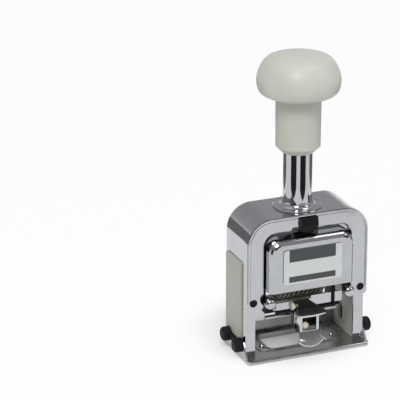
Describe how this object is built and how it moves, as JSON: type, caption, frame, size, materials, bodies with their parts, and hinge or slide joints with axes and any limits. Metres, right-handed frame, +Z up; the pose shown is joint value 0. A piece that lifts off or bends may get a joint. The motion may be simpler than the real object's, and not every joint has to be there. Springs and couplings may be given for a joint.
{
  "type": "numbering machine",
  "caption": "Desk numbering machine: chromed arched frame, number wheel unit, swinging ink pad, presser foot and a mushroom knob on a sprung plunger.",
  "frame": {"origin": "Middle of the base's underside, under the plunger's axis. The origin is the middle of the overall box on its underside.", "axes": "+Z up along the plunger's axis, +X to the right along the wheels' axle, -Y to the front with the label plate."},
  "size_m": [0.0798, 0.0444, 0.1641],
  "materials": {
    "chrome": "polished",
    "steel": "brushed",
    "ivory": "moulded, slightly glossy",
    "guide_ivory": "moulded, satin",
    "black_rubber": "matt",
    "black_plastic": "satin",
    "black_steel": "blackened steel",
    "black_screw": "blackened",
    "label": "satin silver",
    "wheel_black": "blackened steel",
    "pad_felt": "dry felt",
    "nylon": "smooth"
  },
  "bodies": {
    "frame": {"casing": "chrome", "front_plate": "chrome", "base_pan": "steel", "window_plate": "chrome", "window_rivets": "steel", "front_screws": "black_screw", "guide_tube": "chrome", "tube_nut": "steel", "side_guide_left": "guide_ivory", "side_guide_right": "guide_ivory", "bumper_left": "black_rubber", "bumper_right": "black_rubber"},
    "lock": {"lock_lever": "black_plastic", "lock_slider": "steel"},
    "plunger": {"knob": "ivory", "handle_sleeve": "ivory", "plunger_rod": "steel", "rod_nut": "steel", "return_spring": "steel", "inner_frame": "steel", "front_cover": "chrome", "rear_cover": "chrome", "cover_screws": "steel", "label_plate": "label", "cover_studs": "chrome", "wheel_axle": "steel", "axle_clips": "steel", "detent_comb": "steel", "comb_bar": "steel", "rail_guides": "black_steel"},
    "feed": {"feed_arm": "steel", "feed_pawl": "steel"},
    "pad": {"pad_carrier": "chrome", "pad_tray": "steel", "ink_pad": "pad_felt"},
    "foot": {"foot_plate": "chrome", "foot_rails": "black_steel", "foot_grip": "black_plastic", "grip_boss": "nylon", "foot_bracket": "chrome", "foot_block": "black_plastic", "bracket_pin": "steel", "foot_buffer": "nylon"},
    "wheel_1": {"number_wheel_1": "wheel_black"},
    "wheel_2": {"number_wheel_2": "wheel_black"},
    "wheel_3": {"number_wheel_3": "wheel_black"},
    "wheel_4": {"number_wheel_4": "wheel_black"},
    "wheel_5": {"number_wheel_5": "wheel_black"},
    "wheel_6": {"number_wheel_6": "wheel_black"},
    "wheel_7": {"number_wheel_7": "wheel_black"},
    "wheel_8": {"number_wheel_8": "wheel_black"},
    "wheel_9": {"number_wheel_9": "wheel_black"},
    "wheel_10": {"number_wheel_10": "wheel_black"}
  },
  "joints": [
    {"name": "plunge", "type": "slide", "parent": "frame", "child": "plunger", "axis": [0, 0, -1], "range_m": [0, 0.0283], "stiffness_N_per_m": 700, "springref_m": -0.012, "deforming": ["return_spring"]},
    {"name": "lock_slide", "type": "slide", "parent": "frame", "child": "lock", "axis": [-1, 0, 0], "range_m": [0, 0.0065]},
    {"name": "pad_swing", "type": "hinge", "parent": "plunger", "child": "pad", "pos_m": [0, 0, 0.0395], "axis": [1, 0, 0], "range_deg": [0, 115]},
    {"name": "feed_swing", "type": "hinge", "parent": "plunger", "child": "feed", "pos_m": [0, 0, 0.0395], "axis": [1, 0, 0], "range_deg": [0, 36]},
    {"name": "foot_slide", "type": "slide", "parent": "plunger", "child": "foot", "axis": [0, 0, 1], "range_m": [0, 0.022]},
    {"name": "wheel_1_turn", "type": "hinge", "parent": "plunger", "child": "wheel_1", "pos_m": [-0.01205, 0, 0.0395], "axis": [1, 0, 0], "continuous": true},
    {"name": "wheel_2_turn", "type": "hinge", "parent": "plunger", "child": "wheel_2", "pos_m": [-0.00945, 0, 0.0395], "axis": [1, 0, 0], "continuous": true},
    {"name": "wheel_3_turn", "type": "hinge", "parent": "plunger", "child": "wheel_3", "pos_m": [-0.00685, 0, 0.0395], "axis": [1, 0, 0], "continuous": true},
    {"name": "wheel_4_turn", "type": "hinge", "parent": "plunger", "child": "wheel_4", "pos_m": [-0.00425, 0, 0.0395], "axis": [1, 0, 0], "continuous": true},
    {"name": "wheel_5_turn", "type": "hinge", "parent": "plunger", "child": "wheel_5", "pos_m": [-0.00165, 0, 0.0395], "axis": [1, 0, 0], "continuous": true},
    {"name": "wheel_6_turn", "type": "hinge", "parent": "plunger", "child": "wheel_6", "pos_m": [0.00095, 0, 0.0395], "axis": [1, 0, 0], "continuous": true},
    {"name": "wheel_7_turn", "type": "hinge", "parent": "plunger", "child": "wheel_7", "pos_m": [0.00355, 0, 0.0395], "axis": [1, 0, 0], "continuous": true},
    {"name": "wheel_8_turn", "type": "hinge", "parent": "plunger", "child": "wheel_8", "pos_m": [0.00615, 0, 0.0395], "axis": [1, 0, 0], "continuous": true},
    {"name": "wheel_9_turn", "type": "hinge", "parent": "plunger", "child": "wheel_9", "pos_m": [0.00875, 0, 0.0395], "axis": [1, 0, 0], "continuous": true},
    {"name": "wheel_10_turn", "type": "hinge", "parent": "plunger", "child": "wheel_10", "pos_m": [0.01135, 0, 0.0395], "axis": [1, 0, 0], "continuous": true}
  ],
  "couplings": [
    {"joint": "pad_swing", "follows": "plunge", "rad_per_m": 70.9},
    {"joint": "feed_swing", "follows": "plunge", "rad_per_m": 22.2},
    {"joint": "foot_slide", "follows": "plunge", "ratio": 0.777}
  ]
}
